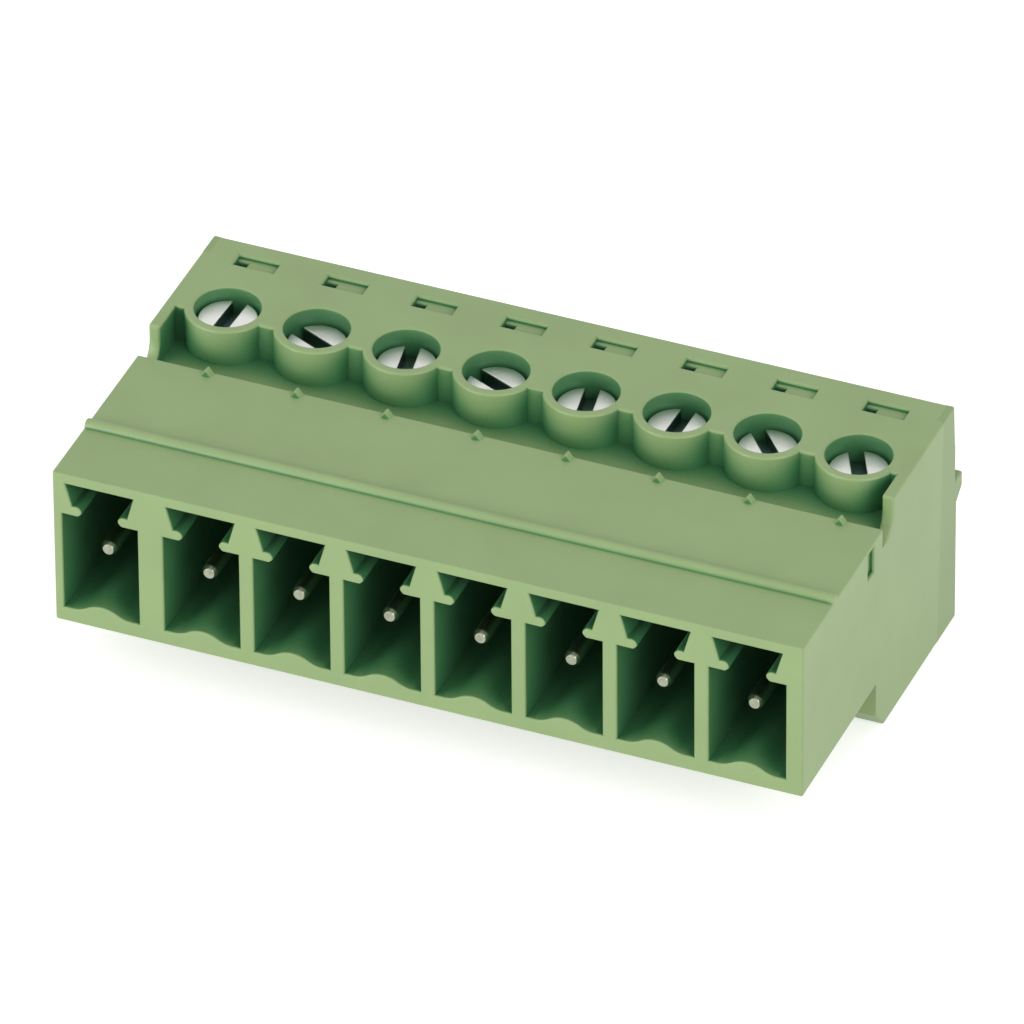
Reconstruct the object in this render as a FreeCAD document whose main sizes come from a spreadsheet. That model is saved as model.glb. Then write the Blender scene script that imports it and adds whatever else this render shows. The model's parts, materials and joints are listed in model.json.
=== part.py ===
import FreeCAD, Part
import math
import os
import re

import Sketcher

# A pluggable screw terminal block with pin contacts, in millimetres.
# X runs along the row of poles, Y from the mating mouth to the wire side, Z up.
# The origin is the middle of the footprint, on the surface the block stands on.

doc = FreeCAD.newDocument("PluggableTerminalBlock")

# Driving sizes, each set by itself.
SIZES = [
    # the row of poles
    ("pole_count", 8, "poles in the row"),
    ("pole_pitch", 5.08, "from pole to pole"),
    ("first_margin", 0.7, "moulding beyond the half pitch of the first pole"),
    ("last_margin", 0.55, "moulding beyond the half pitch of the last pole"),
    ("block_height", 13.8, "base to the top of the screw deck"),
    # the mating shroud
    ("shroud_length", 10.4, "mouth to the joint with the clamp housing"),
    ("shroud_lift", 3.35, "underside of the shroud above the base"),
    ("shroud_height", 9.45, "underside to top of the shroud"),
    ("roof_thickness", 0.66, "roof over the chambers"),
    ("floor_thickness", 0.85, "floor under the chambers"),
    ("lip_reach", 0.85, "how far the roof laps over the clamp housing"),
    ("lip_thickness", 1.15, "thickness of that lap"),
    ("chamber_depth", 9.3, "mouth to the back wall of a chamber"),
    ("chamber_width", 4.26, "between the partitions"),
    ("chamber_height", 6.0, "floor to the underside of the keying tabs"),
    ("tab_thickness", 0.6, "height of a keying tab"),
    ("tab_chamfer", 0.2, "edges at the tip of a tab"),
    ("neck_width", 2.04, "between the tips of a pair of tabs"),
    ("slot_floor_width", 3.1, "key slot, just above the tabs"),
    ("slot_roof_width", 3.83, "key slot, under the roof"),
    ("hump_width", 3.4, "swell of the chamber floor, along X"),
    ("hump_height", 0.5, "swell of the chamber floor"),
    ("end_chamber_shift", 0.62, "chamber and pin of the first pole, outward"),
    ("bead_setback", 4.5, "mouth to the bead across the roof"),
    ("bead_radius", 0.35, "half-round bead across the roof"),
    ("tooth_offset", 0.83, "tooth beside the axis of its pole"),
    ("tooth_base", 0.6, "width of a tooth"),
    ("tooth_height", 0.4, "height of a tooth"),
    ("tooth_length", 0.5, "length of a tooth along Y"),
    ("notch_width", 0.85, "side notch, along Y"),
    ("notch_height", 1.6, "side notch, along Z"),
    ("notch_depth", 0.25, "side notch, into the wall"),
    ("notch_setback", 0.4, "side notch in front of the joint"),
    ("notch_drop", 0.3, "side notch below the roof"),
    # the clamp housing
    ("housing_length", 10.65, "joint with the shroud to the seat of the cover"),
    ("toe_run", 1.2, "slope under the joint, along Y"),
    ("toe_rise", 1.35, "slope under the joint, along Z"),
    ("screw_setback", 5.3, "joint to the screw axes"),
    ("boss_radius", 2.31, "outside of a screw well"),
    ("web_forward", 0.9, "webs between the wells, in front of the screw axes"),
    ("cheek_thickness", 0.65, "end walls beside the outer wells"),
    ("cheek_reach", 3.0, "end walls in front of the screw axes"),
    ("cheek_radius", 1.2, "curve at the foot of an end wall"),
    ("well_diameter", 3.56, "screwdriver well"),
    ("shelf_thickness", 0.6, "shelf under the screw heads"),
    ("base_thickness", 1.9, "floor under the clamp cavities"),
    ("eave_reach", 0.65, "upper back edge beyond the seat of the cover"),
    ("eave_lean", 0.2, "lean of the face above the cover"),
    ("marker_length", 2.3, "marker recess, along X"),
    ("marker_width", 0.9, "marker recess, along Y"),
    ("marker_depth", 0.25, "marker recess"),
    ("marker_setback", 4.2, "marker recess behind the screw axes"),
    ("marker_offset", 0.15, "marker recess beside the axis of its pole"),
    ("marker_hole", 0.6, "side of the square hole at its end"),
    ("marker_hole_depth", 1.7, "depth of that hole"),
    # the wire cover
    ("cover_thickness", 0.9, "plate round the wire entries"),
    ("cover_lap", 0.45, "cover above the roof of the cavities"),
    ("panel_thickness", 0.7, "plate above the rib"),
    ("rib_reach", 0.8, "rib behind the plate"),
    ("rib_bottom", 7.65, "underside of the rib above the base"),
    ("rib_height", 1.2, "height of the rib"),
    ("rib_chamfer", 0.3, "slope under the rib"),
    ("wing_thickness", 0.4, "wings of the cover, let into the end faces"),
    ("wing_foot", 1.8, "length of a wing at the base"),
    ("wing_top", 1.1, "length of a wing at the top"),
    ("snout_height", 5.4, "collars of the cover inside the cavities"),
    ("snout_gap", 0.05, "round those collars"),
    ("wire_hole", 2.8, "diameter of a wire entry"),
    ("funnel_mouth", 4.2, "side of the square funnel at its mouth"),
    ("funnel_step", 0.1, "round the wire entry at the bottom of its funnel"),
    ("funnel_depth", 1.2, "depth of the funnel"),
    # the clamp cages
    ("cage_width", 4.0, "along X"),
    ("cage_length", 4.4, "along Y"),
    ("cage_base", 1.0, "bar under the wire"),
    ("cage_side", 0.7, "side walls"),
    ("cage_crown", 1.6, "threaded bar"),
    ("cage_chamfer", 0.35, "outer corners of the loop"),
    ("cage_gap", 0.1, "round the cage in its cavity"),
    ("cage_travel", 2.4, "lift of the cage from open to closed"),
    ("wire_space", 2.8, "height for the wire when open"),
    ("groove_width", 0.5, "grip grooves across the wire"),
    ("groove_depth", 0.15, "grip grooves across the wire"),
    # the contacts
    ("pin_diameter", 0.9, "mating pin"),
    ("pin_height", 4.42, "pin axis above the underside of the shroud"),
    ("pin_recess", 1.0, "pin tip behind the mouth"),
    ("pin_tip", 0.6, "diameter of the flat at the tip"),
    ("pin_taper", 0.25, "length of the tapered tip"),
    ("root_side", 1.2, "square root of the pin, where it passes through the shroud"),
    ("root_gap", 0.02, "round the root of the pin"),
    ("collar_side", 1.5, "square collar behind the shroud"),
    ("collar_length", 0.8, "along Y"),
    ("neck_side", 1.0, "bar that steps down to the tail"),
    ("tail_width", 2.4, "flat tail in the cage"),
    ("tail_thickness", 0.8, "flat tail in the cage"),
    ("tail_gap", 0.1, "round the tail in its passage and over it in the cage"),
    # the screws
    ("head_diameter", 3.2, "slotted head"),
    ("head_height", 1.45, "slotted head"),
    ("head_gap", 0.04, "under the head"),
    ("shank_diameter", 2.5, "over the thread"),
    ("shank_gap", 0.05, "round the shank"),
    ("tip_gap", 0.05, "between the tip of the screw and the tail"),
    ("first_screw_lift", 0.25, "play taken up by the first screw, whose head stands higher"),
    ("slot_width", 0.8, "screwdriver slot"),
    ("slot_depth", 0.75, "screwdriver slot"),
]

# Places and sizes that follow from the driving ones.
PLACES = [
    ("half_width", "(pole_pitch * pole_count + first_margin + last_margin) / 2"),
    ("first_pole", "first_margin + pole_pitch / 2 - half_width"),
    ("depth", "shroud_length + housing_length + cover_thickness + rib_reach"),
    ("mouth", "-depth / 2"),
    ("joint", "mouth + shroud_length"),
    ("screw_row", "joint + screw_setback"),
    ("cover_seat", "joint + housing_length"),
    ("cover_back", "cover_seat + cover_thickness"),
    ("shroud_top", "shroud_lift + shroud_height"),
    ("deck", "shroud_top - lip_thickness"),
    ("chamber_floor", "shroud_lift + floor_thickness"),
    ("tab_bottom", "chamber_floor + chamber_height"),
    ("tab_top", "tab_bottom + tab_thickness"),
    ("chamber_roof", "shroud_top - roof_thickness"),
    ("hump_radius", "(hump_width ^ 2 / 4 + hump_height ^ 2) / (4 * hump_height)"),
    ("pin_axis", "shroud_lift + pin_height"),
    ("cage_rest", "base_thickness + cage_gap"),
    ("tail_bottom", "cage_rest + cage_base + wire_space"),
    ("tail_top", "tail_bottom + tail_thickness"),
    ("window_top", "tail_top + tail_gap"),
    ("cage_top", "window_top + cage_crown"),
    ("cavity_roof", "cage_top + cage_travel + cage_gap / 2"),
    ("cavity_width", "cage_width + 2 * cage_gap"),
    ("cavity_front", "screw_row - cage_length / 2 - cage_gap"),
    ("well_floor", "cavity_roof + shelf_thickness"),
    ("head_bottom", "well_floor + head_gap"),
    ("head_top", "head_bottom + head_height"),
    ("screw_end", "tail_top + tip_gap"),
    ("shank_hole", "shank_diameter + 2 * shank_gap"),
    ("cover_top", "cavity_roof + cover_lap"),
    ("rib_top", "rib_bottom + rib_height"),
    ("wire_axis", "cage_rest + cage_base + wire_space / 2"),
    ("snout_front", "screw_row + cage_length / 2 + 1.5 * cage_gap"),
    ("tail_front", "cavity_front - 3 * tail_gap"),
    ("tail_end", "screw_row + cage_length / 2 - 2 * tail_gap"),
    ("collar_back", "joint + collar_length"),
]

# Screwdriver slots as they happen to stand, in degrees from X, one for each screw.
SLOT_ANGLES = [88, -25, 100, -24, 100, 89, 130, 117]


def fill_sheet(name, rows):
    """A spreadsheet whose cells carry the first item of each row as their alias."""
    sheet = doc.addObject("Spreadsheet::Sheet", name)
    for number, row in enumerate(rows, 1):
        sheet.set(f"A{number}", row[0])
        sheet.set(f"B{number}", str(row[1]))
        sheet.setAlias(f"B{number}", row[0])
        if len(row) > 2:
            sheet.set(f"C{number}", row[2])
    return sheet


SIZE_NAMES = {row[0] for row in SIZES}
PLACE_NAMES = {row[0] for row in PLACES}


def full(formula):
    """The formula with each size or place written as the sheet's cell."""

    def cell(match):
        word = match.group()
        if word in SIZE_NAMES:
            return "sizes." + word
        if word in PLACE_NAMES:
            return "places." + word
        return word

    return re.sub(r"[a-z_]+", cell, formula)


fill_sheet("sizes", SIZES)
doc.recompute()
places = fill_sheet("places", [(name, "=" + full(formula)) for name, formula in PLACES])
doc.recompute()


def value(formula):
    return float(places.evalExpression(full(formula)))


def bind(item, **formulas):
    """Ties properties of a feature to formulas."""
    for name, formula in formulas.items():
        item.setExpression(name, full(formula))


def origin_part(body, role):
    return [item for item in body.Origin.OriginFeatures if item.Role == role][0]


def new_body(name, x="0"):
    body = doc.addObject("PartDesign::Body", name)
    body.Label = name
    body.setExpression("Placement.Base.x", full(x))
    return body


def new_sketch(body, name, role, at):
    """An empty sketch parallel to an origin plane; at is its own (across, up, out) shift."""
    sketch = body.newObject("Sketcher::SketchObject", name)
    sketch.AttachmentSupport = [(origin_part(body, role), "")]
    sketch.MapMode = "FlatFace"
    for letter, formula in zip("xyz", at):
        sketch.setExpression(f"AttachmentOffset.Base.{letter}", full(formula))
    return sketch


def hold(sketch, kind, *where, formula):
    """Adds one constraint and ties its datum to a formula."""
    number = sketch.addConstraint(Sketcher.Constraint(kind, *where, value(formula)))
    sketch.setExpression(f"Constraints[{number}]", full(formula))


def arc_between(start, end, radius, turn):
    """The arc from start to end; turn is 1 for anticlockwise and -1 for clockwise."""
    chord = end - start
    rise = math.sqrt(max(radius**2 - chord.Length**2 / 4, 0))
    side = FreeCAD.Vector(-chord.y, chord.x, 0).normalize()
    centre = (start + end) / 2 + side * rise * turn
    first, last = (start, end) if turn > 0 else (end, start)
    circle = Part.Circle(centre, FreeCAD.Vector(0, 0, 1), radius)
    return Part.ArcOfCircle(circle, circle.parameter(first), circle.parameter(last))


def outline(body, name, role, corners, at=("0", "0", "0")):
    """A closed outline. A corner is (across, up), or (across, up, radius, turn) where an arc leaves it."""
    sketch = new_sketch(body, name, role, at)
    points = [FreeCAD.Vector(value(corner[0]), value(corner[1]), 0) for corner in corners]
    ends = []
    for number, corner in enumerate(corners):
        start, end = points[number], points[(number + 1) % len(points)]
        if len(corner) == 2:
            sketch.addGeometry(Part.LineSegment(start, end))
            ends.append((1, 2))
        else:
            sketch.addGeometry(arc_between(start, end, value(corner[2]), corner[3]))
            ends.append((1, 2) if corner[3] > 0 else (2, 1))
    for number, corner in enumerate(corners):
        after = (number + 1) % len(corners)
        joined = (number, ends[number][1], after, ends[after][0])
        sketch.addConstraint(Sketcher.Constraint("Coincident", *joined))
        hold(sketch, "DistanceX", -1, 1, number, ends[number][0], formula=corner[0])
        hold(sketch, "DistanceY", -1, 1, number, ends[number][0], formula=corner[1])
        if len(corner) > 2:
            hold(sketch, "Radius", number, formula=corner[2])
    return sketch


def disc(body, name, role, centre, radius, at=("0", "0", "0")):
    """One circle."""
    sketch = new_sketch(body, name, role, at)
    middle = FreeCAD.Vector(value(centre[0]), value(centre[1]), 0)
    sketch.addGeometry(Part.Circle(middle, FreeCAD.Vector(0, 0, 1), value(radius)))
    hold(sketch, "DistanceX", -1, 1, 0, 3, formula=centre[0])
    hold(sketch, "DistanceY", -1, 1, 0, 3, formula=centre[1])
    hold(sketch, "Radius", 0, formula=radius)
    return sketch


def rectangle(left, bottom, right, top):
    return [(left, bottom), (right, bottom), (right, top), (left, top)]


def square(across, up, side):
    return rectangle(
        f"{across} - {side} / 2", f"{up} - {side} / 2", f"{across} + {side} / 2", f"{up} + {side} / 2"
    )


def extrude(body, kind, name, sketch, length, reverse=False, both_ways=False):
    """A Pad along the sketch's normal, or a Pocket against it; reverse turns either round."""
    feature = body.newObject("PartDesign::" + kind, name)
    feature.Profile = sketch
    feature.Reversed = reverse
    feature.SideType = "Symmetric" if both_ways else "One side"
    bind(feature, Length=length)
    return feature


def revolve(body, name, sketch):
    """A Revolution about the sketch's own vertical axis."""
    feature = body.newObject("PartDesign::Revolution", name)
    feature.Profile = sketch
    feature.ReferenceAxis = (sketch, ["V_Axis"])
    return feature


def along_row(body, name, features, count):
    """Repeats features at the pitch of the poles."""
    pattern = body.newObject("PartDesign::LinearPattern", name)
    pattern.Originals = features
    pattern.Direction = (origin_part(body, "X_Axis"), [""])
    pattern.Mode = "Spacing"
    bind(pattern, Offset="pole_pitch", Occurrences=count)
    body.Tip = pattern


def mirror_ends(body, name, features):
    """Repeats features at the other end of the row."""
    mirrored = body.newObject("PartDesign::Mirrored", name)
    mirrored.Originals = features
    mirrored.MirrorPlane = (origin_part(body, "YZ_Plane"), [""])
    body.Tip = mirrored


def chamber_outline(centre):
    """One chamber: a box with a swelling floor, and a key slot above a pair of tabs."""
    half = f"{centre} + chamber_width / 2"
    other = f"{centre} - chamber_width / 2"
    tip = f"{centre} + neck_width / 2"
    other_tip = f"{centre} - neck_width / 2"
    swell = f"{centre} + hump_width / 2"
    other_swell = f"{centre} - hump_width / 2"
    mid_swell = f"{centre} + hump_width / 4"
    other_mid_swell = f"{centre} - hump_width / 4"
    halfway = "chamber_floor + hump_height / 2"
    return [
        (other, "chamber_floor"),
        (other_swell, "chamber_floor", "hump_radius", 1),
        (other_mid_swell, halfway, "hump_radius", -1),
        (mid_swell, halfway, "hump_radius", 1),
        (swell, "chamber_floor"),
        (half, "chamber_floor"),
        (half, "tab_bottom"),
        (f"{tip} + tab_chamfer", "tab_bottom"),
        (tip, "tab_bottom + tab_chamfer"),
        (tip, "tab_top - tab_chamfer"),
        (f"{tip} + tab_chamfer", "tab_top"),
        (f"{centre} + slot_floor_width / 2", "tab_top"),
        (f"{centre} + slot_roof_width / 2", "chamber_roof"),
        (f"{centre} - slot_roof_width / 2", "chamber_roof"),
        (f"{centre} - slot_floor_width / 2", "tab_top"),
        (f"{other_tip} - tab_chamfer", "tab_top"),
        (other_tip, "tab_top - tab_chamfer"),
        (other_tip, "tab_bottom + tab_chamfer"),
        (f"{other_tip} - tab_chamfer", "tab_bottom"),
        (other, "tab_bottom"),
    ]


def cut_chamber(body, name, centre):
    """A chamber and the square hole for the root of its pin, cut from the mouth."""
    mouth_plane = ("0", "0", "-(mouth)")
    sketch = outline(body, name + "_outline", "XZ_Plane", chamber_outline(centre), mouth_plane)
    chamber = extrude(body, "Pocket", name, sketch, "chamber_depth")
    corners = square(centre, "pin_axis", "(root_side + 2 * root_gap)")
    sketch = outline(body, name + "_hole_outline", "XZ_Plane", corners, mouth_plane)
    hole = extrude(body, "Pocket", name + "_pin_hole", sketch, "shroud_length")
    return [chamber, hole]


def make_shroud():
    """The mating shroud, open at the front, with one chamber for each pole."""
    body = new_body("front_shroud")
    side = [
        ("mouth", "shroud_lift"),
        ("joint", "shroud_lift"),
        ("joint", "deck"),
        ("joint + lip_reach", "deck"),
        ("joint + lip_reach", "shroud_top"),
        ("mouth", "shroud_top"),
    ]
    sketch = outline(body, "shroud_side", "YZ_Plane", side)
    extrude(body, "Pad", "shroud_block", sketch, "2 * half_width", both_ways=True)

    sketch = disc(body, "bead_circle", "YZ_Plane", ("mouth + bead_setback", "shroud_top"), "bead_radius")
    extrude(body, "Pad", "roof_bead", sketch, "2 * half_width", both_ways=True)

    middle = "first_pole + tooth_offset"
    tooth = [
        (f"{middle} - tooth_base / 2", "shroud_top"),
        (f"{middle} + tooth_base / 2", "shroud_top"),
        (middle, "shroud_top + tooth_height"),
    ]
    sketch = outline(body, "tooth_outline", "XZ_Plane", tooth, ("0", "0", "-(joint + lip_reach)"))
    pad = extrude(body, "Pad", "roof_tooth", sketch, "tooth_length")
    along_row(body, "roof_teeth", [pad], "pole_count")

    cut_chamber(body, "first_chamber", "first_pole - end_chamber_shift")
    regular = cut_chamber(body, "second_chamber", "first_pole + pole_pitch")
    along_row(body, "other_chambers", regular, "pole_count - 1")

    notch_back = "joint - notch_setback"
    notch_top = "shroud_top - notch_drop"
    notch = rectangle(
        f"{notch_back} - notch_width", f"{notch_top} - notch_height", notch_back, notch_top
    )
    sketch = outline(body, "notch_outline", "YZ_Plane", notch, ("0", "0", "half_width"))
    pocket = extrude(body, "Pocket", "side_notch", sketch, "notch_depth")
    mirror_ends(body, "side_notches", [pocket])
    return body


def wing_outline():
    """One wing of the cover, which laps an end face of the housing up to the top of its eave."""
    return [
        ("cover_seat - wing_foot", "0"),
        ("cover_seat", "0"),
        ("cover_seat", "cover_top"),
        ("cover_seat + eave_reach", "cover_top"),
        ("cover_seat + eave_reach - eave_lean", "block_height"),
        ("cover_seat - wing_top", "block_height"),
    ]


def cut_passage(body, name, centre, widen):
    """The passage of one contact from the joint into its clamp cavity."""
    reach = "(tail_width / 2 + tail_gap)"
    corners = rectangle(
        f"{centre} - {reach} - {widen}",
        "tail_bottom - tail_gap",
        f"{centre} + {reach}",
        "pin_axis + collar_side / 2 + tail_gap",
    )
    sketch = outline(body, name + "_outline", "XZ_Plane", corners, ("0", "0", "-(joint)"))
    return extrude(body, "Pocket", name, sketch, "screw_setback")


def make_housing():
    """The clamp housing: screw wells, clamp cavities open to the back, and marker recesses."""
    body = new_body("clamp_housing")
    web = "screw_row - web_forward"
    side = [
        ("joint + toe_run", "0"),
        ("cover_seat", "0"),
        ("cover_seat", "cover_top"),
        ("cover_seat + eave_reach", "cover_top"),
        ("cover_seat + eave_reach - eave_lean", "block_height"),
        (web, "block_height"),
        (web, "deck"),
        ("joint", "deck"),
        ("joint", "toe_rise"),
    ]
    sketch = outline(body, "housing_side", "YZ_Plane", side)
    extrude(body, "Pad", "housing_block", sketch, "2 * half_width", both_ways=True)

    front = "screw_row - cheek_reach"
    cheek = [
        (f"{front} - cheek_radius", "deck"),
        ("screw_row", "deck"),
        ("screw_row", "block_height"),
        (front, "block_height"),
        (front, "deck + cheek_radius", "cheek_radius", -1),
    ]
    sketch = outline(body, "cheek_outline", "YZ_Plane", cheek, ("0", "0", "half_width"))
    pad = extrude(body, "Pad", "cheek", sketch, "cheek_thickness", reverse=True)
    mirror_ends(body, "cheeks", [pad])

    at_deck = ("0", "0", "deck")
    sketch = disc(body, "boss_circle", "XY_Plane", ("first_pole", "screw_row"), "boss_radius", at_deck)
    boss = extrude(body, "Pad", "boss", sketch, "block_height - deck")
    along_row(body, "bosses", [boss], "pole_count")

    at_top = ("0", "0", "block_height")
    axis = ("first_pole", "screw_row")
    sketch = disc(body, "well_circle", "XY_Plane", axis, "well_diameter / 2", at_top)
    well = extrude(body, "Pocket", "screw_well", sketch, "block_height - well_floor")
    sketch = disc(body, "shelf_circle", "XY_Plane", axis, "shank_hole / 2", ("0", "0", "well_floor"))
    bore = extrude(body, "Pocket", "shelf_bore", sketch, "shelf_thickness")

    cavity = rectangle(
        "first_pole - cavity_width / 2", "base_thickness", "first_pole + cavity_width / 2", "cavity_roof"
    )
    sketch = outline(body, "cavity_outline", "XZ_Plane", cavity, ("0", "0", "-(cover_seat)"))
    room = extrude(body, "Pocket", "clamp_cavity", sketch, "cover_seat - cavity_front", reverse=True)

    left = "first_pole - marker_offset - marker_length / 2"
    low = "screw_row + marker_setback - marker_width / 2"
    recess = rectangle(left, low, f"{left} + marker_length", f"{low} + marker_width")
    sketch = outline(body, "marker_outline", "XY_Plane", recess, at_top)
    marker = extrude(body, "Pocket", "marker_recess", sketch, "marker_depth")
    pit = rectangle(left, low, f"{left} + marker_hole", f"{low} + marker_hole")
    sketch = outline(body, "marker_hole_outline", "XY_Plane", pit, at_top)
    hole = extrude(body, "Pocket", "marker_pit", sketch, "marker_hole_depth")
    along_row(body, "pole_features", [well, bore, room, marker, hole], "pole_count")

    cut_passage(body, "first_passage", "first_pole", "end_chamber_shift")
    regular = cut_passage(body, "second_passage", "first_pole + pole_pitch", "0")
    along_row(body, "other_passages", [regular], "pole_count - 1")

    sketch = outline(body, "wing_seat_outline", "YZ_Plane", wing_outline(), ("0", "0", "half_width"))
    seat = extrude(body, "Pocket", "wing_seat", sketch, "wing_thickness")
    mirror_ends(body, "wing_seats", [seat])
    return body


def make_cover():
    """The wire cover: a ribbed plate with wings, and a square funnel and a collar for each cavity."""
    body = new_body("wire_cover")
    side = [
        ("cover_seat", "0"),
        ("cover_back", "0"),
        ("cover_back", "rib_bottom - rib_chamfer"),
        ("cover_back + rib_reach", "rib_bottom + rib_chamfer"),
        ("cover_back + rib_reach", "rib_top"),
        ("cover_seat + panel_thickness", "rib_top"),
        ("cover_seat + panel_thickness", "cover_top"),
        ("cover_seat", "cover_top"),
    ]
    sketch = outline(body, "cover_side", "YZ_Plane", side)
    extrude(body, "Pad", "cover_plate", sketch, "2 * half_width", both_ways=True)

    sketch = outline(body, "wing_outline", "YZ_Plane", wing_outline(), ("0", "0", "half_width"))
    wing = extrude(body, "Pad", "wing", sketch, "wing_thickness", reverse=True)
    mirror_ends(body, "wings", [wing])

    reach = "(cavity_width / 2 - snout_gap)"
    snout = rectangle(
        f"first_pole - {reach}",
        "base_thickness + snout_gap",
        f"first_pole + {reach}",
        "base_thickness + snout_gap + snout_height",
    )
    sketch = outline(body, "snout_outline", "XZ_Plane", snout, ("0", "0", "-(cover_seat)"))
    collar = extrude(body, "Pad", "snout", sketch, "cover_seat - snout_front")
    along_row(body, "snouts", [collar], "pole_count")

    at_back = ("0", "0", "-(cover_back)")
    axis = ("first_pole", "wire_axis")
    sketch = disc(body, "entry_circle", "XZ_Plane", axis, "wire_hole / 2", at_back)
    bore = extrude(body, "Pocket", "wire_entry", sketch, "cover_back - snout_front", reverse=True)
    foot = "(wire_hole / 2 + funnel_step)"
    funnel = body.newObject("PartDesign::SubtractiveWedge", "funnel")
    bind(funnel, Ymin="cover_back - funnel_depth", Ymax="cover_back")
    bind(funnel, Xmin=f"first_pole - {foot}", Xmax=f"first_pole + {foot}")
    bind(funnel, Zmin=f"wire_axis - {foot}", Zmax=f"wire_axis + {foot}")
    bind(funnel, X2min="first_pole - funnel_mouth / 2", X2max="first_pole + funnel_mouth / 2")
    bind(funnel, Z2min="wire_axis - funnel_mouth / 2", Z2max="wire_axis + funnel_mouth / 2")
    along_row(body, "wire_entries", [bore, funnel], "pole_count")
    return body


def pole_place(number):
    return f"first_pole + {number} * pole_pitch"


def make_screw(number):
    """A slotted clamping screw, with its thread as a plain shank."""
    body = new_body(f"clamp_screw_{number + 1}", pole_place(number))
    lift = "first_screw_lift" if number == 0 else "0"
    bind(body, **{"Placement.Base.y": "screw_row", "Placement.Base.z": lift})
    body.Placement.Rotation = FreeCAD.Rotation(
        FreeCAD.Vector(0, 0, 1), SLOT_ANGLES[number % len(SLOT_ANGLES)]
    )
    half = [
        ("0", "screw_end"),
        ("shank_diameter / 2", "screw_end"),
        ("shank_diameter / 2", "head_bottom"),
        ("head_diameter / 2", "head_bottom"),
        ("head_diameter / 2", "head_top"),
        ("0", "head_top"),
    ]
    sketch = outline(body, "screw_profile", "XZ_Plane", half)
    revolve(body, "screw_solid", sketch)
    slot = rectangle("-head_diameter", "-slot_width / 2", "head_diameter", "slot_width / 2")
    sketch = outline(body, "slot_outline", "XY_Plane", slot, ("0", "0", "head_top"))
    extrude(body, "Pocket", "slot", sketch, "slot_depth")
    return body


def make_cage(number):
    """A rising clamp cage: a loop with a threaded bar on top and a grooved bar under the wire."""
    body = new_body(f"clamp_cage_{number + 1}", pole_place(number))
    bind(body, **{"Placement.Base.y": "screw_row"})
    right = "cage_width / 2"
    left = "-cage_width / 2"
    ring = [
        (f"{left} + cage_chamfer", "cage_rest"),
        (f"{right} - cage_chamfer", "cage_rest"),
        (right, "cage_rest + cage_chamfer"),
        (right, "cage_top - cage_chamfer"),
        (f"{right} - cage_chamfer", "cage_top"),
        (f"{left} + cage_chamfer", "cage_top"),
        (left, "cage_top - cage_chamfer"),
        (left, "cage_rest + cage_chamfer"),
    ]
    sketch = outline(body, "cage_outline", "XZ_Plane", ring)
    extrude(body, "Pad", "cage_block", sketch, "cage_length", both_ways=True)

    window = rectangle(
        "-(cage_width / 2 - cage_side)", "cage_rest + cage_base", "cage_width / 2 - cage_side", "window_top"
    )
    sketch = outline(body, "window_outline", "XZ_Plane", window)
    extrude(body, "Pocket", "wire_window", sketch, "2 * cage_length", both_ways=True)

    sketch = disc(body, "thread_circle", "XY_Plane", ("0", "0"), "shank_hole / 2", ("0", "0", "cage_top"))
    extrude(body, "Pocket", "thread_hole", sketch, "cage_crown")

    grip = "cage_rest + cage_base"
    for place, middle in enumerate(("-2 * groove_width", "0", "2 * groove_width")):
        groove = [
            (f"{middle} - groove_width / 2", grip),
            (middle, f"{grip} - groove_depth"),
            (f"{middle} + groove_width / 2", grip),
        ]
        sketch = outline(body, f"groove_outline_{place}", "YZ_Plane", groove)
        width = "cage_width - 2 * cage_side"
        extrude(body, "Pocket", f"grip_groove_{place}", sketch, width, both_ways=True)
    return body


def make_contact(number):
    """A contact: round pin with a square root, collar, and a flat tail a step lower, in the cage."""
    body = new_body(f"contact_{number + 1}", pole_place(number))
    shift = "-end_chamber_shift" if number == 0 else "0"
    root_front = "(mouth + chamber_depth - root_gap)"
    pin = [
        ("0", "mouth + pin_recess"),
        ("pin_tip / 2", "mouth + pin_recess"),
        ("pin_diameter / 2", "mouth + pin_recess + pin_taper"),
        ("pin_diameter / 2", root_front),
        ("0", root_front),
    ]
    sketch = outline(body, "pin_profile", "XY_Plane", pin, (shift, "0", "pin_axis"))
    revolve(body, "pin", sketch)

    at_joint = ("0", "0", "-(joint)")
    sketch = outline(body, "root_outline", "XZ_Plane", square(shift, "pin_axis", "root_side"), at_joint)
    extrude(body, "Pad", "root", sketch, f"joint - {root_front}")
    sketch = outline(body, "collar_outline", "XZ_Plane", square(shift, "pin_axis", "collar_side"), at_joint)
    extrude(body, "Pad", "collar", sketch, "collar_length", reverse=True)

    step = [
        ("collar_back", "pin_axis - neck_side / 2"),
        ("tail_front", "tail_bottom"),
        ("tail_front", "tail_top"),
        ("collar_back", "pin_axis + neck_side / 2"),
    ]
    sketch = outline(body, "step_outline", "YZ_Plane", step, ("0", "0", shift))
    extrude(body, "Pad", "step_down", sketch, "neck_side", both_ways=True)

    tail = rectangle("-tail_width / 2", "tail_bottom", "tail_width / 2", "tail_top")
    sketch = outline(body, "tail_outline", "XZ_Plane", tail, ("0", "0", "-(tail_front)"))
    extrude(body, "Pad", "tail", sketch, "tail_end - tail_front", reverse=True)
    return body


def check(bodies):
    """Stops where an object failed to compute or a body isn't one valid solid."""
    for item in doc.Objects:
        if "Invalid" in item.State or "Error" in item.State:
            raise RuntimeError(f"{item.Name} failed: {item.State}")
    for body in bodies:
        if body.Shape.isNull() or not body.Shape.isValid():
            raise RuntimeError(f"{body.Label} has no valid shape")
        if len(body.Shape.Solids) != 1:
            raise RuntimeError(f"{body.Label} has {len(body.Shape.Solids)} solids")


bodies = [make_shroud(), make_housing(), make_cover()]
for pole in range(int(value("pole_count"))):
    bodies += [make_screw(pole), make_cage(pole), make_contact(pole)]
doc.recompute()
check(bodies)

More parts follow.
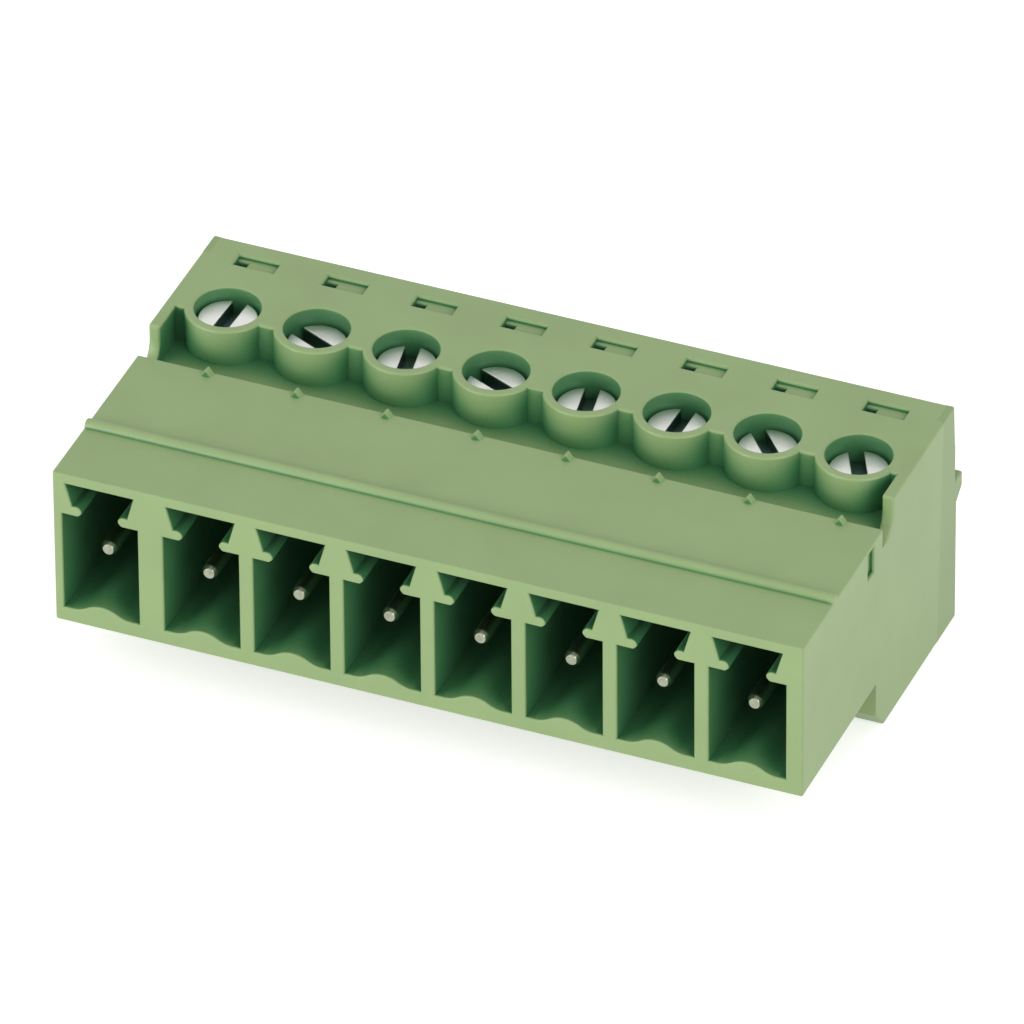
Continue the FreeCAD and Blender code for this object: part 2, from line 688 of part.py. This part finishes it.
os.makedirs("parts", exist_ok=True)
for body in bodies:
    body.Shape.exportStep(f"parts/{body.Label}.step")
    box = body.Shape.BoundBox
    size = f"{box.XLength:.2f} x {box.YLength:.2f} x {box.ZLength:.2f}"
    print(f"{body.Label}: {size}, {body.Shape.Volume:.2f} mm3, {len(body.Shape.Faces)} faces")
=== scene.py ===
import json
import math

import bpy
from mathutils import Matrix, Vector


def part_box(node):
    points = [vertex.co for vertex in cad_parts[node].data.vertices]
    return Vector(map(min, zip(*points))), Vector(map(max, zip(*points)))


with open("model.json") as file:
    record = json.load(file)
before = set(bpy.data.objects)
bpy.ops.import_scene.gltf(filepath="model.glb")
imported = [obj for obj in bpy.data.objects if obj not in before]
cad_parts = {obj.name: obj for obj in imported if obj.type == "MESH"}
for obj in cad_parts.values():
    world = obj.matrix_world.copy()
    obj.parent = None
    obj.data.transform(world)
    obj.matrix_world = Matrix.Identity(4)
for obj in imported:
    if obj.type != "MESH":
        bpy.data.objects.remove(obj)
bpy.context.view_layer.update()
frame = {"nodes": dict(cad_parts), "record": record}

# Dresses the pluggable terminal block. Lengths are in metres, in the frame of the part:
# X along the row of poles, Y from the mating mouth to the wire side, Z up.

NODES = frame["nodes"]
MM = 0.001

# The middle of the row of screws, which the camera's aim is measured from.
FIRST_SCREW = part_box("clamp_screw_1")
LAST_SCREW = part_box("clamp_screw_8")
ROW_MIDDLE = (FIRST_SCREW[0] + FIRST_SCREW[1] + LAST_SCREW[0] + LAST_SCREW[1]) / 4

# The camera of the photograph, solved from the repeating poles.
AIM = Vector((ROW_MIDDLE.x, ROW_MIDDLE.y, 0)) + Vector((-0.145, -3.771, 7.779)) * MM
CAMERA_DISTANCE = 0.87609
CAMERA_AZIMUTH = math.radians(22.527)
CAMERA_ELEVATION = math.radians(35.906)
CAMERA_ROLL = math.radians(0.411)
LENS = 590.04
SENSOR = 36.0

# Edge rounding of the mouldings and the metal parts.
MOULD_RADIUS = 0.1 * MM
HOUSING_RADIUS = 0.14 * MM
METAL_RADIUS = 0.05 * MM
MOULD_SEGMENTS = 3
METAL_SEGMENTS = 2
SHARP_ANGLE = math.radians(30)
FLAT_ANGLE = math.radians(0.5)
MERGE_DISTANCE = 0.0005 * MM

# An edge that lies this near another moulding is a closed seam, and stays sharp.
SEAM_REACH = 0.02 * MM

# The rim of a cage's hole touches the cage's walls, so a cage's edges shorter than this stay sharp too.
CAGE_EDGE = 0.3 * MM

# Openness is 0 deep inside a hollow and 1 on an outer face, and sets the painted shade of the nylon. The
# reach is how far off a wall counts.
HOLLOW_REACH = 8.0 * MM
HOLLOW_SAMPLES = 8

# A painted glow lifts the painted shade of shallow recesses just under an outer face, standing in for
# light that enters the face. It starts at the first depth below the face and is full at the second.
GLOW_DEPTH = 0.3 * MM
GLOW_FULL_DEPTH = 0.1 * MM
GLOW_OPENNESS = 0.75
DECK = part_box("clamp_housing")[1].z
BEHIND_WELLS = ROW_MIDDLE.y + 3.0 * MM
END_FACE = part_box("front_shroud")[1].x

# Most of a noise texture's values lie between these.
NOISE_LOW = 0.3
NOISE_HIGH = 0.7

# Nylon: painted shade by openness, from dark saturated green deep in hollows to its own olive green on
# outer faces, soft clouds from the flow, and the grain of the mould.
NYLON_TONES_AND_PAINTED_SHADE = [
    (0.10, (0.050, 0.150, 0.070)),
    (0.40, (0.035, 0.170, 0.062)),
    (0.62, (0.095, 0.235, 0.090)),
    (0.80, (0.265, 0.375, 0.158)),
]
COVER_SHADE = 0.88
CLOUD_SCALE = 260.0
CLOUD_SHADES = (0.95, 1.03)
GRAIN_SCALE = 14000.0
GRAIN_STRENGTH = 0.12
GRAIN_HEIGHT = 0.02 * MM
NYLON_ROUGHNESS = 0.45
NYLON_IOR = 1.53

# Screws: their colour by height, as a share of their length. The slot below the face of the head is
# painted shade, dark teal as a painted reflection of the green nylon, and the face of the head has the
# plated colour.
SCREW_TONES_AND_SLOT_SHADE = [
    (0.86, (0.10, 0.17, 0.15)),
    (0.975, (0.20, 0.27, 0.25)),
    (0.99, (0.80, 0.80, 0.77)),
]
RING_SCALE = 9.0
RING_STRENGTH = 0.35
RING_HEIGHT = 0.02 * MM
SCREW_ROUGHNESS = 0.3

# Cages and contacts: their darker and lighter tones, in streaks from rolling and drawing.
ZINC_TONES = ((0.52, 0.53, 0.52), (0.66, 0.67, 0.66))
ZINC_ROUGHNESS = 0.42
TIN_TONES = ((0.28, 0.30, 0.22), (0.40, 0.42, 0.32))
TIN_ROUGHNESS = 0.3
STREAK_SCALE = 4000.0
STREAK_STRENGTH = 0.2
STREAK_HEIGHT = 0.01 * MM

# Studio light. A lamp's strength is what it adds to a white surface that faces it.
WORLD_LIGHT = 0.72
BACKDROP = 1.0
KEY_STRENGTH = 0.48
FILL_STRENGTH = 0.32
LAMP_DISTANCE = 0.5

# The floor, with the glow that lifts it to the white of the backdrop.
FLOOR_REACH = 3.0
FLOOR_COLOUR = (0.8, 0.8, 0.8, 1)
FLOOR_GLOW = 0.55
WHITE = (1, 1, 1, 1)


def above(tree, value, limit):
    """True where value is greater than limit."""
    item = tree.nodes.new("FunctionNodeCompare")
    item.operation = "GREATER_THAN"
    item.inputs["B"].default_value = limit
    tree.links.new(value, item.inputs["A"])
    return item.outputs[0]


def both(tree, first, second):
    """True where first and second are true."""
    item = tree.nodes.new("FunctionNodeBooleanMath")
    tree.links.new(first, item.inputs[0])
    tree.links.new(second, item.inputs[1])
    return item.outputs[0]


def clear_of(tree, neighbours):
    """True where an edge doesn't lie on one of the neighbours."""
    others = tree.nodes.new("GeometryNodeJoinGeometry")
    for neighbour in neighbours:
        solid = bpy.data.objects.new(f"{neighbour} solid", NODES[neighbour].data)
        source = tree.nodes.new("GeometryNodeObjectInfo")
        source.inputs["Object"].default_value = solid
        tree.links.new(source.outputs["Geometry"], others.inputs[0])
    gap = tree.nodes.new("GeometryNodeProximity")
    gap.target_element = "FACES"
    tree.links.new(others.outputs[0], gap.inputs[0])
    return above(tree, gap.outputs["Distance"], SEAM_REACH)


def longer(tree, shortest):
    """True where an edge is longer than shortest."""
    ends = tree.nodes.new("GeometryNodeInputMeshEdgeVertices")
    length = tree.nodes.new("ShaderNodeVectorMath")
    length.operation = "DISTANCE"
    tree.links.new(ends.outputs["Position 1"], length.inputs[0])
    tree.links.new(ends.outputs["Position 2"], length.inputs[1])
    return above(tree, length.outputs["Value"], shortest)


def outer_edges(name, neighbours=(), shortest=0.0):
    """Geometry nodes that mark the sharp outward edges of a mesh for the bevel, apart from its seams."""
    tree = bpy.data.node_groups.new(f"outer edges {name}", "GeometryNodeTree")
    for direction in ("INPUT", "OUTPUT"):
        tree.interface.new_socket("Geometry", in_out=direction, socket_type="NodeSocketGeometry")
    start = tree.nodes.new("NodeGroupInput")
    end = tree.nodes.new("NodeGroupOutput")
    angle = tree.nodes.new("GeometryNodeInputMeshEdgeAngle")
    chosen = above(tree, angle.outputs["Signed Angle"], SHARP_ANGLE)
    if neighbours:
        chosen = both(tree, chosen, clear_of(tree, neighbours))
    if shortest:
        chosen = both(tree, chosen, longer(tree, shortest))
    mark = tree.nodes.new("GeometryNodeStoreNamedAttribute")
    mark.data_type = "FLOAT"
    mark.domain = "EDGE"
    mark.inputs["Name"].default_value = "bevel_weight_edge"
    tree.links.new(start.outputs[0], mark.inputs["Geometry"])
    tree.links.new(chosen, mark.inputs["Value"])
    tree.links.new(mark.outputs["Geometry"], end.inputs[0])
    return tree


def soften(obj, edges, radius, segments):
    """Rounds the sharp outward edges of a node: its loose facets are joined into flat faces first."""
    weld = obj.modifiers.new("join", "WELD")
    weld.merge_threshold = MERGE_DISTANCE
    flat = obj.modifiers.new("flat faces", "DECIMATE")
    flat.decimate_type = "DISSOLVE"
    flat.angle_limit = FLAT_ANGLE
    mark = obj.modifiers.new("outer edges", "NODES")
    mark.node_group = edges
    bevel = obj.modifiers.new("rounded edges", "BEVEL")
    bevel.limit_method = "WEIGHT"
    bevel.width = radius
    bevel.segments = segments
    bevel.use_clamp_overlap = False


def new_material(name):
    """An empty material, with its node tree and its shader."""
    material = bpy.data.materials.new(name)
    material.use_nodes = True
    tree = material.node_tree
    return material, tree, tree.nodes["Principled BSDF"]


def node(tree, kind, **values):
    """A shader node, with its inputs set by name."""
    item = tree.nodes.new(kind)
    for name, value in values.items():
        item.inputs[name.replace("_", " ")].default_value = value
    return item


def combine(tree, operation, *values):
    """A number worked out from others, each a socket or a plain number."""
    item = tree.nodes.new("ShaderNodeMath")
    item.operation = operation
    for socket, value in zip(item.inputs, values):
        if isinstance(value, float):
            socket.default_value = value
        else:
            tree.links.new(value, socket)
    return item.outputs[0]


def ramp(tree, source, stops):
    """A colour ramp over source. A stop is (position, colour)."""
    item = tree.nodes.new("ShaderNodeValToRGB")
    tree.links.new(source, item.inputs["Fac"])
    elements = item.color_ramp.elements
    while len(elements) < len(stops):
        elements.new(0.5)
    for element, (position, colour) in zip(elements, stops):
        element.position = position
        element.color = (*colour, 1)
    return item.outputs["Color"]


def multiply(tree, first, second):
    """The product of two colours. A Mix node keeps its colours in sockets 6, 7 and 2."""
    item = tree.nodes.new("ShaderNodeMix")
    item.data_type = "RGBA"
    item.blend_type = "MULTIPLY"
    item.inputs["Factor"].default_value = 1.0
    tree.links.new(first, item.inputs[6])
    tree.links.new(second, item.inputs[7])
    return item.outputs[2]


def bump(tree, shader, height, strength, distance):
    """Roughens the surface of shader by height."""
    item = node(tree, "ShaderNodeBump", Strength=strength, Distance=distance)
    tree.links.new(height, item.inputs["Height"])
    tree.links.new(item.outputs["Normal"], shader.inputs["Normal"])


def openness(tree):
    """How open a place lies: 0 deep inside a hollow, 1 on an outer face. It drives the painted shade of
    the nylon.
    """
    item = node(tree, "ShaderNodeAmbientOcclusion", Distance=HOLLOW_REACH)
    item.samples = HOLLOW_SAMPLES
    item.only_local = True
    return item.outputs["AO"]


def painted_glow(tree, height, face):
    """A painted glow: openness that rises just under an outer face, which lies at height face, so the
    painted shade there is lifted.
    """
    item = node(
        tree,
        "ShaderNodeMapRange",
        From_Min=face - GLOW_DEPTH,
        From_Max=face - GLOW_FULL_DEPTH,
        To_Max=GLOW_OPENNESS,
    )
    tree.links.new(height, item.inputs["Value"])
    return item.outputs["Result"]


def deck_painted_glow(tree, axes):
    """Painted glow under the deck behind the wells, which lifts the painted shade in the housing's
    marker recesses.
    """
    behind = combine(tree, "GREATER_THAN", axes.outputs["Y"], BEHIND_WELLS)
    return combine(tree, "MULTIPLY", painted_glow(tree, axes.outputs["Z"], DECK), behind)


def end_painted_glow(tree, axes):
    """Painted glow just inside both end faces, which lifts the painted shade in the shroud's notches."""
    across = combine(tree, "ABSOLUTE", axes.outputs["X"])
    return painted_glow(tree, across, END_FACE)


def green_nylon(name, outer_painted_glow=None, shade=1.0):
    """Moulded nylon: satin olive green, with painted shade that darkens it in hollows, a painted glow
    just under an outer face where one is given, and the grain of a spark-eroded mould.
    """
    material, tree, shader = new_material(name)
    link = tree.links.new
    place = node(tree, "ShaderNodeTexCoord")
    cloud = node(tree, "ShaderNodeTexNoise", Scale=CLOUD_SCALE, Detail=3.0)
    link(place.outputs["Object"], cloud.inputs["Vector"])
    dim, bright = (tint * shade for tint in CLOUD_SHADES)
    flow = ramp(tree, cloud.outputs["Fac"], [(NOISE_LOW, (dim,) * 3), (NOISE_HIGH, (bright,) * 3)])
    painted_shade_openness = openness(tree)
    # Where a painted glow is given, it lifts the painted shade just under an outer face.
    if outer_painted_glow:
        axes = node(tree, "ShaderNodeSeparateXYZ")
        link(place.outputs["Object"], axes.inputs[0])
        painted_shade_openness = combine(tree, "MAXIMUM", painted_shade_openness, outer_painted_glow(tree, axes))
    # The ramp paints the shade: dark green deep in hollows, the nylon's own olive green on open faces.
    tone = ramp(tree, painted_shade_openness, NYLON_TONES_AND_PAINTED_SHADE)
    link(multiply(tree, tone, flow), shader.inputs["Base Color"])
    grain = node(tree, "ShaderNodeTexNoise", Scale=GRAIN_SCALE, Detail=2.0)
    link(place.outputs["Object"], grain.inputs["Vector"])
    bump(tree, shader, grain.outputs["Fac"], GRAIN_STRENGTH, GRAIN_HEIGHT)
    shader.inputs["Roughness"].default_value = NYLON_ROUGHNESS
    shader.inputs["IOR"].default_value = NYLON_IOR
    return material


def plated_screw():
    """Zinc plated steel: turned rings on the head, and painted shade in the milled slot, dark teal as a
    painted reflection of the green nylon.
    """
    material, tree, shader = new_material("zinc_screw")
    link = tree.links.new
    place = node(tree, "ShaderNodeTexCoord")
    axes = node(tree, "ShaderNodeSeparateXYZ")
    link(place.outputs["Generated"], axes.inputs[0])
    # Painted shade and a painted reflection of the nylon darken the slot.
    link(ramp(tree, axes.outputs["Z"], SCREW_TONES_AND_SLOT_SHADE), shader.inputs["Base Color"])
    centre = node(tree, "ShaderNodeMapping", Location=(-0.5, -0.5, 0))
    link(place.outputs["Generated"], centre.inputs["Vector"])
    rings = node(tree, "ShaderNodeTexWave", Scale=RING_SCALE, Distortion=0.6, Detail=1.0)
    rings.wave_type = "RINGS"
    rings.rings_direction = "Z"
    link(centre.outputs[0], rings.inputs["Vector"])
    bump(tree, shader, rings.outputs["Fac"], RING_STRENGTH, RING_HEIGHT)
    shader.inputs["Metallic"].default_value = 1.0
    shader.inputs["Roughness"].default_value = SCREW_ROUGHNESS
    return material


def drawn_metal(name, tones, roughness, stretch):
    """Plated metal with streaks along the axis on which stretch is small."""
    material, tree, shader = new_material(name)
    link = tree.links.new
    place = node(tree, "ShaderNodeTexCoord")
    along = node(tree, "ShaderNodeMapping", Scale=stretch)
    link(place.outputs["Object"], along.inputs["Vector"])
    streaks = node(tree, "ShaderNodeTexNoise", Scale=STREAK_SCALE, Detail=3.0)
    link(along.outputs[0], streaks.inputs["Vector"])
    dark, light = tones
    stops = [(NOISE_LOW, dark), (NOISE_HIGH, light)]
    link(ramp(tree, streaks.outputs["Fac"], stops), shader.inputs["Base Color"])
    bump(tree, shader, streaks.outputs["Fac"], STREAK_STRENGTH, STREAK_HEIGHT)
    shader.inputs["Metallic"].default_value = 1.0
    shader.inputs["Roughness"].default_value = roughness
    return material


def aim_matrix(place, target, roll=0.0):
    """Stands a camera or lamp at place, looking at target."""
    turn = (target - place).to_track_quat("-Z", "Y").to_matrix().to_4x4()
    return Matrix.Translation(place) @ turn @ Matrix.Rotation(-roll, 4, "Z")


def around(azimuth, elevation, distance):
    """A place round the aim: azimuth 0 is in front of the mouth, 90 degrees is beyond the last pole."""
    level = math.cos(elevation)
    back = Vector((math.sin(azimuth) * level, -math.cos(azimuth) * level, math.sin(elevation)))
    return AIM + back * distance


def make_camera():
    """The camera of the photograph."""
    camera = bpy.data.objects.new("camera", bpy.data.cameras.new("camera"))
    camera.data.sensor_width = SENSOR
    camera.data.lens = LENS
    place = around(CAMERA_AZIMUTH, CAMERA_ELEVATION, CAMERA_DISTANCE)
    camera.matrix_world = aim_matrix(place, AIM, CAMERA_ROLL)
    bpy.context.scene.collection.objects.link(camera)
    bpy.context.scene.camera = camera


def softbox(name, azimuth, elevation, size, strength):
    """A round lamp. Its power is worked out from what it adds to a white surface that faces it."""
    light = bpy.data.lights.new(name, "AREA")
    light.shape = "DISK"
    light.size = size
    light.energy = strength * (math.pi * LAMP_DISTANCE) ** 2
    lamp = bpy.data.objects.new(name, light)
    place = around(math.radians(azimuth), math.radians(elevation), LAMP_DISTANCE)
    lamp.matrix_world = aim_matrix(place, AIM)
    bpy.context.scene.collection.objects.link(lamp)


def sees_background(tree):
    """1 for camera, glossy and transmission rays, which see the white backdrop."""
    paths = node(tree, "ShaderNodeLightPath").outputs
    seen = combine(tree, "MAXIMUM", paths["Is Camera Ray"], paths["Is Glossy Ray"])
    return combine(tree, "MAXIMUM", seen, paths["Is Transmission Ray"])


def make_world():
    """Even light, behind which those rays see the white backdrop."""
    world = bpy.data.worlds.new("studio")
    bpy.context.scene.world = world
    world.use_nodes = True
    tree = world.node_tree
    tree.nodes.clear()
    light = node(tree, "ShaderNodeBackground", Color=WHITE, Strength=WORLD_LIGHT)
    seen = node(tree, "ShaderNodeBackground", Color=WHITE, Strength=BACKDROP)
    mix = node(tree, "ShaderNodeMixShader")
    out = node(tree, "ShaderNodeOutputWorld")
    tree.links.new(sees_background(tree), mix.inputs[0])
    tree.links.new(light.outputs[0], mix.inputs[1])
    tree.links.new(seen.outputs[0], mix.inputs[2])
    tree.links.new(mix.outputs[0], out.inputs["Surface"])


def make_floor():
    """A pale floor that fades to the white backdrop and keeps the block's shadow."""
    mesh = bpy.data.meshes.new("floor")
    corners = [(-1, -1), (1, -1), (1, 1), (-1, 1)]
    mesh.from_pydata([(x * FLOOR_REACH, y * FLOOR_REACH, 0) for x, y in corners], [], [(0, 1, 2, 3)])
    floor = bpy.data.objects.new("floor", mesh)
    bpy.context.scene.collection.objects.link(floor)
    material, tree, shader = new_material("floor")
    tree.nodes.remove(shader)
    pale = node(tree, "ShaderNodeBsdfDiffuse", Color=FLOOR_COLOUR)
    glow = node(tree, "ShaderNodeEmission", Color=WHITE, Strength=FLOOR_GLOW)
    seen = node(tree, "ShaderNodeAddShader")
    mix = node(tree, "ShaderNodeMixShader")
    tree.links.new(pale.outputs[0], seen.inputs[0])
    tree.links.new(glow.outputs[0], seen.inputs[1])
    tree.links.new(sees_background(tree), mix.inputs[0])
    tree.links.new(pale.outputs[0], mix.inputs[1])
    tree.links.new(seen.outputs[0], mix.inputs[2])
    tree.links.new(mix.outputs[0], tree.nodes["Material Output"].inputs["Surface"])
    mesh.materials.append(material)


# The finish and the edges of each metal, by the record's material slot.
METALS = {
    "plated_screw": (plated_screw(), outer_edges("screw")),
    "plated_cage": (
        drawn_metal("zinc_cage", ZINC_TONES, ZINC_ROUGHNESS, stretch=(1, 1, 0.08)),
        outer_edges("cage", shortest=CAGE_EDGE),
    ),
    "tinned_contact": (
        drawn_metal("tin", TIN_TONES, TIN_ROUGHNESS, stretch=(1, 0.06, 1)),
        outer_edges("contact"),
    ),
}

# The finish and the edge radius of each moulding.
MOULDINGS = {
    # The shroud and the housing get a painted glow in their shallow recesses.
    "front_shroud": (green_nylon("nylon_shroud", end_painted_glow), MOULD_RADIUS),
    "clamp_housing": (green_nylon("nylon_housing", deck_painted_glow), HOUSING_RADIUS),
    "wire_cover": (green_nylon("nylon_cover", shade=COVER_SHADE), MOULD_RADIUS),
}

for part in frame["record"]["subparts"]:
    name = part["node"]
    obj = NODES[name]
    if name in MOULDINGS:
        finish, radius = MOULDINGS[name]
        neighbours = [other for other in MOULDINGS if other != name]
        soften(obj, outer_edges(name, neighbours), radius, MOULD_SEGMENTS)
    else:
        finish, edges = METALS[part["material_slot"]]
        soften(obj, edges, METAL_RADIUS, METAL_SEGMENTS)
    for slot in obj.material_slots:
        slot.material = finish

make_camera()
make_world()
make_floor()
softbox("key", azimuth=-38, elevation=10, size=0.25, strength=KEY_STRENGTH)
softbox("fill", azimuth=60, elevation=25, size=0.3, strength=FILL_STRENGTH)
bpy.context.scene.view_settings.view_transform = "Standard"
